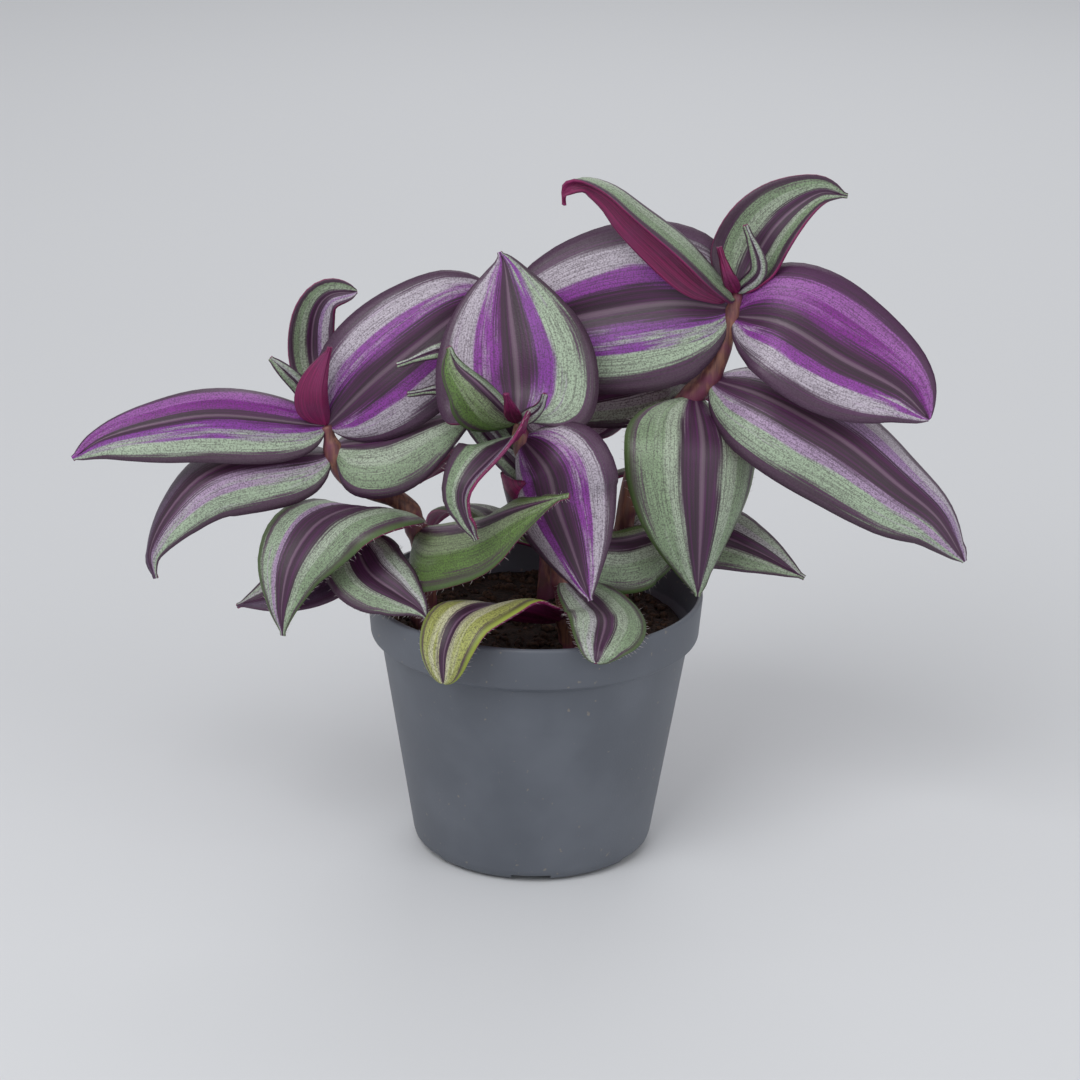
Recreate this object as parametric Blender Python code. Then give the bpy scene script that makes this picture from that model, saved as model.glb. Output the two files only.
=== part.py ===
"""Potted tradescantia: a zebra-leaved house plant in a small grey nursery pot.

Every size is in millimetres in the tables below and becomes metres in the meshes. The pot stands
on the ground with its centre at the origin. +Z is up and the plant's fuller side faces -Y.
"""
import math

import bpy
import bmesh
from mathutils import Matrix, Vector

for old in list(bpy.data.objects):
    bpy.data.objects.remove(old, do_unlink=True)

MM = 0.001

# Pot: a 6 cm nursery pot.
POT_HEIGHT = 48.0
RIM_RADIUS = 30.0
WALL = 0.9
COLLAR_LOW = 40.5          # lower edge of the thick band under the rim
COLLAR_LOW_RADIUS = 29.4
NECK_RADIUS = 27.6         # wall just under the collar
FOOT_RADIUS = 21.7         # wall just above the rounded bottom edge
FOOT_ROUND = 2.8           # radius of the bottom edge
BASE_HEIGHT = 2.0          # underside of the raised base plate
BASE_THICK = 1.0
FOOT_RING_INNER = 17.6
PAD_RADIUS = 6.0           # the flat pad in the middle of the underside
POT_STEPS = 48
NOTCHES = 6
NOTCH_WIDTH = 7.0
NOTCH_HEIGHT = 1.4
DRAINS = 6
DRAIN_RADIUS = 2.0
DRAIN_CIRCLE = 12.0

# Soil
SOIL_TOP = 41.5
GAP = 0.3                  # clearance between neighbours that only rest together

# Stems and leaves
STEM_RADIUS = 1.7
STEM_TIP_RADIUS = 0.7
STEM_STEPS = 12
STEM_SIDES = 8
LEAF_THICK = 0.6
LEAF_STEPS = 8             # rows from base to tip
HALF_STEPS = 2             # columns on each side of the midrib
LEAF_GAP = 0.45            # from the stem's bark to the leaf
FLAT_FOLD = (20, -25)      # a half rises 20 degrees at the rib and drops 25 at its edge
TIP = None                 # a leaf that grows from the very end of its stem

POT_COLOR = (0.105, 0.115, 0.135)
SOIL_COLOR = (0.018, 0.010, 0.006)
STEM_COLOR = (0.16, 0.07, 0.05)
LEAF_COLOR = (0.16, 0.09, 0.17)

# Each stem's path, from the soil to its tip.
STEMS = {
    "left": [(-19, -2, 42.3), (-19.5, -3, 50), (-21, -4, 60), (-24, -4, 65.5),
             (-30, -3, 67.5), (-34.5, -3, 71), (-37, -3, 79)],
    "left_low": [(-19, -9, 42.3), (-22, -8.5, 48), (-29, -8, 56), (-33, -8, 61)],
    "centre": [(6, -11, 42.3), (5, -11.5, 52), (2, -12, 66), (-2, -13.5, 78), (-3.5, -15, 84)],
    "right": [(15, 2, 42.3), (15.5, 2, 58), (18, 2, 72), (24, 1.5, 81),
              (30, 0.5, 88), (33, 0.5, 97), (34.2, 1, 103)],
    "back": [(2, 13, 42.3), (3, 17, 55), (5, 21, 68), (6, 24, 79)],
}


def leaf(stem, height, rib, half, face, tip_face=None, left=FLAT_FOLD, right=FLAT_FOLD,
         base=1.0, widest=0.36, lobe=0.4, left_scale=1.0, right_scale=1.0):
    """One leaf. It leaves its stem at a height and its midrib follows the rib points to the tip.

    half is its half width, face the way its upper side looks at the base (tip_face at the tip),
    left and right the fold of each half, and widest where along its length it is widest.
    """
    return dict(stem=stem, height=height, rib=rib, half=half, face=face,
                tip_face=tip_face or face, folds=(left, right), base=base, widest=widest,
                lobe=lobe, scales=(left_scale, right_scale))


LEAVES = {
    "leaf_left_1": leaf("left", 79.3,
        [(-55, -6, 81.5), (-66, -8, 80.5), (-75, -9, 78), (-80.5, -10, 74.5)],
        half=8.5, face=(0, -0.8, 0.6), right=(10, -50), widest=0.42, right_scale=0.72),
    "leaf_left_2": leaf("left", 74,
        [(-49, -6, 74), (-58, -9, 71.5), (-64, -12, 65.5), (-67, -14, 59), (-66, -15, 54.5)],
        half=9.5, face=(0.1, -0.8, 0.6), tip_face=(-0.3, -0.9, 0.1), right=(-40, -80)),
    "leaf_left_3": leaf("left", TIP,
        [(-38.5, 3.5, 84), (-40, 6.5, 89), (-39.5, 6.5, 96), (-37, 6, 100), (-32, 5.5, 101)],
        half=4.3, face=(0.2, -0.9, 0.2), left=(0, 20), right=(20, 50), base=0.5, widest=0.52, lobe=0),
    "leaf_left_4": leaf("left", TIP,
        [(-37.6, -7, 86.5), (-36, -7, 94.5)],
        half=4.5, face=(0, 1, 0), left=(60, 70), right=(5, -5), base=0.5, lobe=0, left_scale=0.3),
    "leaf_left_5": leaf("left", TIP,
        [(-40.6, -3, 85), (-43.5, -3.5, 88.5), (-46.5, -4, 91.5)],
        half=1.5, face=(-0.3, -0.9, 0.3), base=0.3, widest=0.5, lobe=0),
    "leaf_left_6": leaf("left", 79,
        [(-28.5, -5, 88), (-20.5, -3.5, 94.5), (-14, -1, 99), (-7, 2, 101.5)],
        half=11.5, face=(0, -0.93, 0.36), left=(10, -25), right=(5, -25), widest=0.5),
    "leaf_left_7": leaf("left", 75,
        [(-27.5, -4, 77), (-18.5, -4.5, 80.5), (-10, -4, 82.5)],
        half=10.5, face=(0, -0.8, 0.6), left=(-40, -70)),
    "leaf_left_8": leaf("left", 63.5,
        [(-30.5, -12, 67), (-37.5, -16, 65.5), (-42, -20, 60), (-43.5, -22.5, 53), (-43.3, -23.5, 47.5)],
        half=10, face=(0.1, 0.5, 0.9), tip_face=(-0.3, -0.95, 0.1), left=(10, -35), right=(0, -20)),
    "leaf_left_9": leaf("left_low", 58.5,
        [(-38, -11, 54.5), (-45, -13, 51.5), (-52, -15, 49.5)],
        half=6, face=(0, -0.6, 0.8)),
    "leaf_left_10": leaf("left_low", 60,
        [(-29, -15.5, 56.5), (-24, -19, 54), (-20.5, -21.5, 52.5), (-18.5, -23.5, 51)],
        half=6.8, face=(0.1, -0.8, 0.6)),
    "leaf_left_11": leaf("left", 60.5,
        [(-15.5, -13, 64), (-10, -21.5, 68), (-4, -27.5, 72.5), (2.5, -32, 76), (5.5, -33.5, 77.3)],
        half=12, face=(0, -0.7, 0.7), left=(-30, -50), right=(0, -35),
        widest=0.3, lobe=0.1, left_scale=0.8),
    "leaf_centre_1": leaf("centre", TIP,
        [(-3.5, -11, 88), (-4, -9, 94), (-5, -6, 101), (-6, -3, 108), (-7, -2, 110.5)],
        half=13.8, face=(0, -0.93, 0.36), left=(15, -8), lobe=0.8),
    "leaf_centre_2": leaf("centre", TIP,
        [(-9.5, -19, 91.5), (-13.5, -19.5, 95.3), (-15.2, -19.5, 98.6)],
        half=7.5, face=(0, -0.93, 0.36), left=(0, -40), right=(-50, -80),
        base=0.5, lobe=0, right_scale=0.3),
    "leaf_centre_3": leaf("centre", TIP,
        [(-4.6, -19, 87.5), (-5.4, -21, 91)],
        half=1.2, face=(0, 1, 0), base=0.3, lobe=0),
    "leaf_centre_4": leaf("centre", TIP,
        [(0, -17.5, 87.3), (1.2, -18.5, 90.3)],
        half=1.1, face=(0, -1, 0), base=0.3, lobe=0),
    "leaf_centre_5": leaf("centre", 81.5,
        [(-7, -25, 81.5), (-11, -29, 78.5), (-12.3, -30, 75.5), (-11.5, -31, 72), (-10, -31.5, 68.5)],
        half=7, face=(-0.2, -0.6, 0.7), tip_face=(-0.2, -0.95, 0.2), left=(50, 80), right=(0, -35)),
    "leaf_centre_6": leaf("centre", 81,
        [(1.8, -19.7, 77), (3.5, -18.8, 70.5), (6, -20.5, 64), (9.5, -24, 55)],
        half=11.2, face=(0, -0.9, 0.4), right=(-15, -75), lobe=0),
    "leaf_centre_7": leaf("centre", 79,
        [(-9, -5.5, 87), (-15, -8, 94.5), (-24.3, -10.5, 92.5)],
        half=2.4, face=(0, -0.9, 0.4)),
    "leaf_centre_8": leaf("centre", 72,
        [(-9, -6, 79), (-15, -8, 87), (-22.5, -10.5, 87.3)],
        half=2, face=(0, -0.9, 0.4)),
    "leaf_right_1": leaf("right", 100,
        [(22.5, 1, 101), (7.5, 2, 98), (-3.3, 2, 94.5), (-10, 2, 91.7)],
        half=15, face=(0, -0.93, 0.36), widest=0.42, lobe=0.5),
    "leaf_right_2": leaf("right", 102,
        [(31, -0.5, 106.5), (25, -2, 113.5), (17.7, -2, 119), (12.5, -1, 122.3),
         (7.5, 0, 123.3), (4.3, 0, 121), (4, 0, 118.5)],
        half=7.5, face=(0.6, 0.3, 0.7), left=(-30, -40), right=(-70, -80), lobe=0, left_scale=0.9),
    "leaf_right_3": leaf("right", TIP,
        [(37, 3, 108), (40, 3, 113.5), (44, 3.5, 117.7), (48.5, 4, 120.3), (53, 5, 119.6)],
        half=8, face=(-0.2, -0.9, 0.2), left=(0, 30), right=(10, 60), base=0.6, right_scale=0.7),
    "leaf_right_4": leaf("right", TIP,
        [(37.6, -2.4, 108.5), (35, -3.4, 116.3)],
        half=1.4, face=(0, -1, 0), base=0.3, lobe=0),
    "leaf_right_5": leaf("right", TIP,
        [(32.3, -4, 107.5), (30.6, -4, 112.5)],
        half=1.1, face=(0, 1, 0), base=0.3, lobe=0),
    "leaf_right_6": leaf("right", 99,
        [(42, -5, 99.3), (52, -7.5, 94), (62, -9, 89), (67.5, -10, 84)],
        half=12.5, face=(0, -0.9, 0.45), right=(15, -15), widest=0.45, right_scale=0.86),
    "leaf_right_7": leaf("right", 88,
        [(40, -7, 86.3), (52.5, -9.5, 80), (62.5, -11.5, 72.5), (69.5, -13, 67), (74.5, -14, 59.5)],
        half=12, face=(0, -0.93, 0.36), left=(-30, -70), widest=0.42),
    "leaf_right_8": leaf("right", 84.5,
        [(28.5, -9, 79.5), (28.5, -12, 73), (28.5, -13, 64), (28.5, -10.5, 51)],
        half=13.3, face=(0, -0.7, 0.7), tip_face=(0, -1, 0), left=(-20, -65), right=(15, -15)),
    "leaf_right_9": leaf("right", 86,
        [(24, 8.5, 86), (16, 9.5, 83.5), (8, 9.5, 81), (0.5, 9, 76.5)],
        half=7.6, face=(0, -0.93, 0.36), widest=0.45, lobe=0),
    "leaf_low_1": leaf("centre", 54,
        [(10.5, -18, 51.5), (12, -24, 51), (11, -30.5, 49), (10.5, -32.3, 46.8)],
        half=7.5, face=(0.2, -0.3, 0.95), widest=0.52, lobe=0, right_scale=0.85),
    "leaf_low_2": leaf("centre", 62,
        [(14, -7.5, 60), (20, -4, 60), (26, -3.5, 60.5)],
        half=9.5, face=(0, -0.7, 0.7), left=(-30, -50), right=(-10, -45),
        base=0.3, widest=0.55, lobe=0, left_scale=0.5),
    "leaf_low_3": leaf("right", 57,
        [(30, 4, 57.5), (39, 2.5, 55), (48, 0, 50.7)],
        half=7, face=(0, -0.7, 0.7)),
    "leaf_low_4": leaf("centre", 46.5,
        [(-2, -18.5, 51), (-7, -24, 53.7), (-12.5, -29, 53.3), (-15, -32, 49), (-15.3, -33, 43)],
        half=9.5, face=(-0.2, 0.4, 0.9), tip_face=(-0.6, -0.8, 0.3),
        widest=0.55, lobe=0, left_scale=0.8, right_scale=0.85),
    "leaf_back_1": leaf("back", 78,
        [(-4, 30, 84), (-13, 36, 83), (-21, 40, 76)],
        half=10, face=(-0.1, 0.3, 0.95), tip_face=(-0.5, 0.6, 0.6)),
    "leaf_back_2": leaf("back", 75,
        [(14, 28, 80), (24, 33, 79), (34, 37, 71)],
        half=10.5, face=(0.1, 0.3, 0.95), tip_face=(0.5, 0.6, 0.6)),
    "leaf_back_3": leaf("back", 69,
        [(6, 31, 71), (5, 40, 70), (3, 48, 63), (2, 53, 55)],
        half=11, face=(0, 0.2, 1), tip_face=(0, 0.9, 0.5)),
    "leaf_back_4": leaf("back", 63,
        [(-5, 24, 64), (-14, 28, 64), (-22, 31, 57)],
        half=9, face=(-0.1, 0.3, 0.95), tip_face=(-0.5, 0.6, 0.6)),
    "leaf_back_5": leaf("back", 60,
        [(13, 21, 62), (22, 24, 62), (31, 27, 54)],
        half=8.5, face=(0.1, 0.3, 0.95), tip_face=(0.5, 0.6, 0.6)),
    "leaf_back_6": leaf("back", 54,
        [(5, 25, 56), (7, 34, 56), (9, 41, 51), (9, 45, 44)],
        half=8.5, face=(0, 0.2, 1), tip_face=(0, 0.9, 0.5)),
    "leaf_back_7": leaf("back", TIP,
        [(7, 27, 84), (9, 30, 90), (12, 32, 95)],
        half=4.5, face=(0, -0.9, 0.3), base=0.7),
    "leaf_back_8": leaf("back", 50,
        [(-5, 18, 52), (-11, 24, 54), (-17, 29.5, 52), (-21, 33, 46)],
        half=6.5, face=(0, 0.3, 0.95), tip_face=(-0.5, 0.6, 0.6)),
}


def smooth_path(points, steps=400):
    """Even steps along a smooth curve through the points."""
    points = [Vector(p) for p in points]
    first = points[0] * 2 - points[1]
    last = points[-1] * 2 - points[-2]
    ends = [first] + points + [last]
    dense = []
    for i in range(len(points) - 1):
        a, b, c, d = ends[i:i + 4]
        for k in range(16):
            t = k / 16
            bend = (a * 2 - b * 5 + c * 4 - d) * t * t + (b * 3 - a - c * 3 + d) * t ** 3
            dense.append((b * 2 + (c - a) * t + bend) / 2)
    dense.append(points[-1])
    lengths = [0.0]
    for p, q in zip(dense, dense[1:]):
        lengths.append(lengths[-1] + (q - p).length)
    path = []
    k = 0
    for i in range(steps + 1):
        goal = lengths[-1] * i / steps
        while k < len(dense) - 2 and lengths[k + 1] < goal:
            k += 1
        share = (goal - lengths[k]) / (lengths[k + 1] - lengths[k])
        path.append(dense[k].lerp(dense[k + 1], min(share, 1.0)))
    return path


def direction(path, i):
    """Unit direction of a path at one of its steps."""
    return (path[min(i + 1, len(path) - 1)] - path[max(i - 1, 0)]).normalized()


def stem_radius(share):
    """Stems keep their width, then narrow over the last part to the tip."""
    if share < 0.85:
        return STEM_RADIUS
    return STEM_RADIUS - (STEM_RADIUS - STEM_TIP_RADIUS) * (share - 0.85) / 0.15


def leaf_rib(spec):
    """The midrib from just off the stem's surface to the leaf's tip."""
    path = smooth_path(STEMS[spec["stem"]], 200)
    if spec["height"] is TIP:
        start = path[-1]
        out = (Vector(spec["rib"][0]) - start).normalized()
        return smooth_path([start + out * (STEM_TIP_RADIUS + 0.5)] + spec["rib"])
    i = min(range(201), key=lambda n: abs(path[n].z - spec["height"]))
    along = direction(path, i)
    out = Vector(spec["rib"][0]) - path[i]
    out = (out - along * out.dot(along)).normalized()
    reach = stem_radius(i / 200) + LEAF_THICK / 2 + LEAF_GAP
    return smooth_path([path[i] + out * reach] + spec["rib"])


def leaf_width(spec, t):
    """Half width at a share t of the length: round at the base, drawn out at the tip."""
    rise = 0.6
    fall = rise * (1 - spec["widest"]) / spec["widest"]
    peak = spec["widest"] ** rise * (1 - spec["widest"]) ** fall
    return spec["base"] * (1 - t) ** 2 + spec["half"] * t ** rise * (1 - t) ** fall / peak


def leaf_rows(spec, steps, half_steps):
    """Rows of points from base to tip, each from the left edge over the midrib to the right."""
    path = leaf_rib(spec)
    rows = []
    for i in range(steps + 1):
        t = (1 - math.cos(math.pi * i / steps)) / 2
        at = round(t * 400)
        along = direction(path, at)
        face = Vector(spec["face"]).lerp(Vector(spec["tip_face"]), t)
        up = (face - along * face.dot(along)).normalized()
        side = up.cross(along)
        row = {0: path[at]}
        for sign, fold, scale in zip((1, -1), spec["folds"], spec["scales"]):
            width = max(leaf_width(spec, t) * scale, 0.45)
            open_out = min(width / 2.5, 1.0)       # narrow ends lie flatter than the blade
            point = path[at].copy()
            for k in range(1, half_steps + 1):
                turn = fold[0] + (fold[1] - fold[0]) * (k - 0.5) / half_steps
                angle = math.radians(turn) * open_out
                point += (side * sign * math.cos(angle) + up * math.sin(angle)) * width / half_steps
                out = width * k / half_steps
                back = spec["lobe"] * out * out / spec["half"] * (1 - t) ** 3
                row[-sign * k] = point - along * back
        rows.append([row[k] for k in range(-half_steps, half_steps + 1)])
    return rows


def material(name, color, roughness):
    """A Principled material of its own for one sub-part."""
    made = bpy.data.materials.new(name)
    made.use_nodes = True
    shader = made.node_tree.nodes["Principled BSDF"]
    shader.inputs["Base Color"].default_value = (*color, 1.0)
    shader.inputs["Roughness"].default_value = roughness
    shader.inputs["Metallic"].default_value = 0.0
    return made


def add_object(name, bm, color, roughness):
    """Turn a bmesh in millimetres into a named object in metres."""
    bmesh.ops.scale(bm, vec=(MM, MM, MM), verts=bm.verts)
    mesh = bpy.data.meshes.new(name)
    bm.to_mesh(mesh)
    bm.free()
    made = bpy.data.objects.new(name, mesh)
    bpy.context.scene.collection.objects.link(made)
    mesh.materials.append(material(name, color, roughness))
    return made


def build_leaf(name, spec):
    """A thin folded blade with its full thickness."""
    rows = leaf_rows(spec, LEAF_STEPS, HALF_STEPS)
    columns = 2 * HALF_STEPS
    bm = bmesh.new()
    bmesh.ops.create_grid(bm, x_segments=columns, y_segments=LEAF_STEPS, size=1.0)
    for vert in bm.verts:
        column = round((vert.co.x + 1) / 2 * columns)
        row = round((vert.co.y + 1) / 2 * LEAF_STEPS)
        vert.co = rows[row][column]
    made = add_object(name, bm, LEAF_COLOR, 0.45)
    blade = made.modifiers.new("blade", "SOLIDIFY")
    blade.thickness = LEAF_THICK * MM
    blade.offset = 0.0
    return made


def build_stem(name, points):
    """A round stem: a grid rolled up along its path, with both ends filled."""
    path = smooth_path(points, STEM_STEPS)
    bm = bmesh.new()
    bmesh.ops.create_grid(bm, x_segments=STEM_SIDES, y_segments=STEM_STEPS, size=1.0)
    for vert in bm.verts:
        turn = math.pi * vert.co.x
        i = round((vert.co.y + 1) / 2 * STEM_STEPS)
        along = direction(path, i)
        across = (Vector((1, 0, 0)) - along * along.x).normalized()
        around = across * math.cos(turn) + along.cross(across) * math.sin(turn)
        vert.co = path[i] + around * stem_radius(i / STEM_STEPS)
    bmesh.ops.remove_doubles(bm, verts=bm.verts, dist=0.001)
    bmesh.ops.holes_fill(bm, edges=bm.edges, sides=STEM_SIDES)
    bmesh.ops.recalc_face_normals(bm, faces=bm.faces)
    return add_object(name, bm, STEM_COLOR, 0.55)


def pot_profile():
    """The pot's wall from the pad's centre out, up the outside, over the rim and down inside."""
    points = [(0, 0), (PAD_RADIUS, 0), (PAD_RADIUS, BASE_HEIGHT)]
    points += [(FOOT_RING_INNER, BASE_HEIGHT), (FOOT_RING_INNER, 0)]
    for k in range(5):
        turn = math.radians(-90 + 85 * k / 4)
        points.append((FOOT_RADIUS - FOOT_ROUND + FOOT_ROUND * math.cos(turn),
                       FOOT_ROUND + FOOT_ROUND * math.sin(turn)))
    points += [(NECK_RADIUS, COLLAR_LOW - 1.2), (COLLAR_LOW_RADIUS, COLLAR_LOW)]
    points += [(RIM_RADIUS, POT_HEIGHT - 0.4), (RIM_RADIUS - 0.3, POT_HEIGHT)]
    points += [(RIM_RADIUS - WALL, POT_HEIGHT), (COLLAR_LOW_RADIUS - WALL, COLLAR_LOW + 0.6)]
    points += [(NECK_RADIUS - WALL, COLLAR_LOW - 0.9), (inner_radius(4.5), 4.5)]
    points += [(inner_radius(4.5) - 1.2, BASE_HEIGHT + BASE_THICK), (0, BASE_HEIGHT + BASE_THICK)]
    return points


def inner_radius(height):
    """Inside radius of the tapered wall below the collar."""
    share = (height - FOOT_ROUND) / (COLLAR_LOW - 1.2 - FOOT_ROUND)
    return FOOT_RADIUS - WALL + (NECK_RADIUS - FOOT_RADIUS) * share


def spin_profile(points, steps):
    """Spin a closed outline that touches the Z axis into a solid."""
    bm = bmesh.new()
    verts = [bm.verts.new((r, 0, z)) for r, z in points]
    edges = [bm.edges.new(pair) for pair in zip(verts, verts[1:])]
    bmesh.ops.spin(bm, geom=verts + edges, cent=(0, 0, 0), axis=(0, 0, 1),
                   angle=2 * math.pi, steps=steps, use_merge=True)
    bmesh.ops.remove_doubles(bm, verts=bm.verts, dist=0.0001)
    bmesh.ops.recalc_face_normals(bm, faces=bm.faces)
    return bm


def build_pot():
    """The pot with its notched foot ring and the drain holes in its base."""
    pot = add_object("pot", spin_profile(pot_profile(), POT_STEPS), POT_COLOR, 0.5)
    bm = bmesh.new()
    for i in range(NOTCHES):
        turn = 2 * math.pi * i / NOTCHES - math.pi / 2
        cube = bmesh.ops.create_cube(bm, size=1.0)["verts"]
        bmesh.ops.scale(bm, vec=(8, NOTCH_WIDTH, 2 * NOTCH_HEIGHT), verts=cube)
        bmesh.ops.translate(bm, vec=(20.5, 0, 0), verts=cube)
        bmesh.ops.rotate(bm, matrix=turn_about_z(turn), verts=cube)
    for i in range(DRAINS):
        turn = 2 * math.pi * (i + 0.5) / DRAINS
        hole = bmesh.ops.create_cone(bm, cap_ends=True, segments=12, radius1=DRAIN_RADIUS,
                                     radius2=DRAIN_RADIUS, depth=4)["verts"]
        bmesh.ops.translate(bm, vec=(DRAIN_CIRCLE, 0, BASE_HEIGHT + 0.5), verts=hole)
        bmesh.ops.rotate(bm, matrix=turn_about_z(turn), verts=hole)
    cutter = add_object("pot_cutter", bm, POT_COLOR, 0.5)
    cutter.hide_render = True
    cutter.display_type = "WIRE"
    cut = pot.modifiers.new("notches", "BOOLEAN")
    cut.object = cutter
    cut.operation = "DIFFERENCE"
    cut.solver = "EXACT"
    return pot


def turn_about_z(angle):
    """A rotation matrix about the pot's axis."""
    return Matrix.Rotation(angle, 3, "Z")


def build_soil():
    """The plug of soil, a little clear of the wall and the base."""
    bottom = BASE_HEIGHT + BASE_THICK + GAP
    low = inner_radius(5.0) - 1.6
    neck = inner_radius(COLLAR_LOW - 2) - GAP - 0.2
    points = [(0, bottom), (low, bottom), (inner_radius(7.0) - GAP, 7.0)]
    points += [(neck, COLLAR_LOW - 2), (neck, SOIL_TOP), (0, SOIL_TOP)]
    return add_object("soil", spin_profile(points, 32), SOIL_COLOR, 0.95)


build_pot()
build_soil()
for stem_name, stem_points in STEMS.items():
    build_stem("stem_" + stem_name, stem_points)
for leaf_name, leaf_spec in LEAVES.items():
    build_leaf(leaf_name, leaf_spec)
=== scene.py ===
# %% [markdown]
# # A potted tradescantia
# This lesson dresses the plain CAD model of a small house plant: a grey nursery pot, dark soil,
# five stems and forty zebra-striped leaves. The CAD model gives every place and size. Here each
# leaf gets a finer blade in the same place, and every surface gets a finish of its own.
# The frame comes first, because all pieces are made in its coordinates, in metres.

# %% Load the frame
import math
import random

import bmesh
import bpy
from mathutils import Matrix, Vector, noise


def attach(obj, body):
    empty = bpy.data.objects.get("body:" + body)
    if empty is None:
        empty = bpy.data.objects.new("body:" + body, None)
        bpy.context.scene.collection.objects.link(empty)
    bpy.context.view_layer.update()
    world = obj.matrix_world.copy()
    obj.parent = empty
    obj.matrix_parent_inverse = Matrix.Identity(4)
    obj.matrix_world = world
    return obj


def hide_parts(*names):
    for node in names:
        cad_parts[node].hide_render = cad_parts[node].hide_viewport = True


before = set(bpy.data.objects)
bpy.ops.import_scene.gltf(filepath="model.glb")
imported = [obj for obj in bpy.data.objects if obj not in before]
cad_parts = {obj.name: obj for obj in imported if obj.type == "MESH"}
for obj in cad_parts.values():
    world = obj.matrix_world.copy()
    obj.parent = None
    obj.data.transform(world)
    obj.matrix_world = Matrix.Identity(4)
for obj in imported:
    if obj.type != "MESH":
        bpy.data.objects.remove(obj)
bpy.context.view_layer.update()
MM = 0.001

# %% [markdown]
# The camera looks slightly down on the plant from its fuller side. A long lens keeps the leaves
# that reach forward from looking too big. Its axes are worked out from an elevation and a small
# roll, and put straight into its matrix, so nothing has to be aimed by eye.

# %% Camera
TARGET = Vector((0.0007, 0.0, 0.0572))
DISTANCE = 0.6
ELEVATION = math.radians(20.0)
ROLL = math.radians(0.87)
SENSOR_WIDTH = 36.0        # millimetres
FOCAL_LENGTH = 112.4
lens = bpy.data.cameras.new("camera")
lens.sensor_width = SENSOR_WIDTH
lens.lens = FOCAL_LENGTH
camera = bpy.data.objects.new("camera", lens)
bpy.context.scene.collection.objects.link(camera)
bpy.context.scene.camera = camera
ahead = Vector((0.0, math.cos(ELEVATION), -math.sin(ELEVATION)))
level = Vector((1.0, 0.0, 0.0))
above = level.cross(ahead)
right_axis = level * math.cos(ROLL) + above * math.sin(ROLL)
up_axis = above * math.cos(ROLL) - level * math.sin(ROLL)
turned = Matrix((right_axis, up_axis, -ahead)).transposed().to_4x4()
camera.matrix_world = Matrix.Translation(TARGET - ahead * DISTANCE) @ turned
print("camera at", camera.matrix_world.translation[:])

# %% [markdown]
# A stem is one smooth path from the soil to its tip. A leaf leaves its stem at some height, and
# its midrib runs through a few points to its own tip. These are the CAD model's own numbers, in
# millimetres, so that the finer blades lie where the plain ones do.

# %% Sizes of the pot, the soil and the stems
# Pot: a 6 cm nursery pot.
POT_HEIGHT = 48.0
RIM_RADIUS = 30.0
WALL = 0.9
COLLAR_LOW = 40.5          # lower edge of the thick band under the rim
COLLAR_LOW_RADIUS = 29.4
NECK_RADIUS = 27.6         # wall just under the collar
FOOT_RADIUS = 21.7         # wall just above the rounded bottom edge
FOOT_ROUND = 2.8           # radius of the bottom edge
BASE_HEIGHT = 2.0          # underside of the raised base plate
BASE_THICK = 1.0
FOOT_RING_INNER = 17.6
PAD_RADIUS = 6.0           # the flat pad in the middle of the underside
POT_STEPS = 120
NOTCHES = 6
NOTCH_WIDTH = 7.0
NOTCH_HEIGHT = 1.4
DRAINS = 6
DRAIN_RADIUS = 2.0
DRAIN_CIRCLE = 12.0
SOIL_TOP = 41.5
STEM_RADIUS = 1.7
STEM_TIP_RADIUS = 0.7
LEAF_THICK = 0.5
LEAST_WIDTH = 0.45         # no half of a blade is narrower
FLAT_BELOW = 2.5           # a half narrower than this lies flatter than its fold says
STEM_CLASP = 0.6           # how far out a leaf starts, as a share of its stem's radius
TIP_CLASP = 0.3            # and how far beyond the stem's end
FLAT_FOLD = (20, -25)      # a half rises 20 degrees at the rib and drops 25 at its edge
TIP = None                 # a leaf that grows from the very end of its stem

# Each stem's path, from the soil to its tip.
STEMS = {
    "left": [(-19, -2, 42.3), (-19.5, -3, 50), (-21, -4, 60), (-24, -4, 65.5),
             (-30, -3, 67.5), (-34.5, -3, 71), (-37, -3, 79)],
    "left_low": [(-19, -9, 42.3), (-22, -8.5, 48), (-29, -8, 56), (-33, -8, 61)],
    "centre": [(6, -11, 42.3), (5, -11.5, 52), (2, -12, 66), (-2, -13.5, 78), (-3.5, -15, 84)],
    "right": [(15, 2, 42.3), (15.5, 2, 58), (18, 2, 72), (24, 1.5, 81),
              (30, 0.5, 88), (33, 0.5, 97), (34.2, 1, 103)],
    "back": [(2, 13, 42.3), (3, 17, 55), (5, 21, 68), (6, 24, 79)],
}
print("stems:", list(STEMS))

# %% What describes one leaf
def leaf(stem, height, rib, half, face, tip_face=None, left=FLAT_FOLD, right=FLAT_FOLD,
         base=1.0, widest=0.36, lobe=0.4, left_scale=1.0, right_scale=1.0):
    """One leaf. It leaves its stem at a height and its midrib follows the rib points to the tip.

    half is its half width, face the way its upper side looks at the base (tip_face at the tip),
    left and right the fold of each half, and widest where along its length it is widest.
    """
    return dict(stem=stem, height=height, rib=rib, half=half, face=face,
                tip_face=tip_face or face, folds=(left, right), base=base, widest=widest,
                lobe=lobe, scales=(left_scale, right_scale))


print("a leaf's usual fold:", FLAT_FOLD, "degrees")

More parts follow.
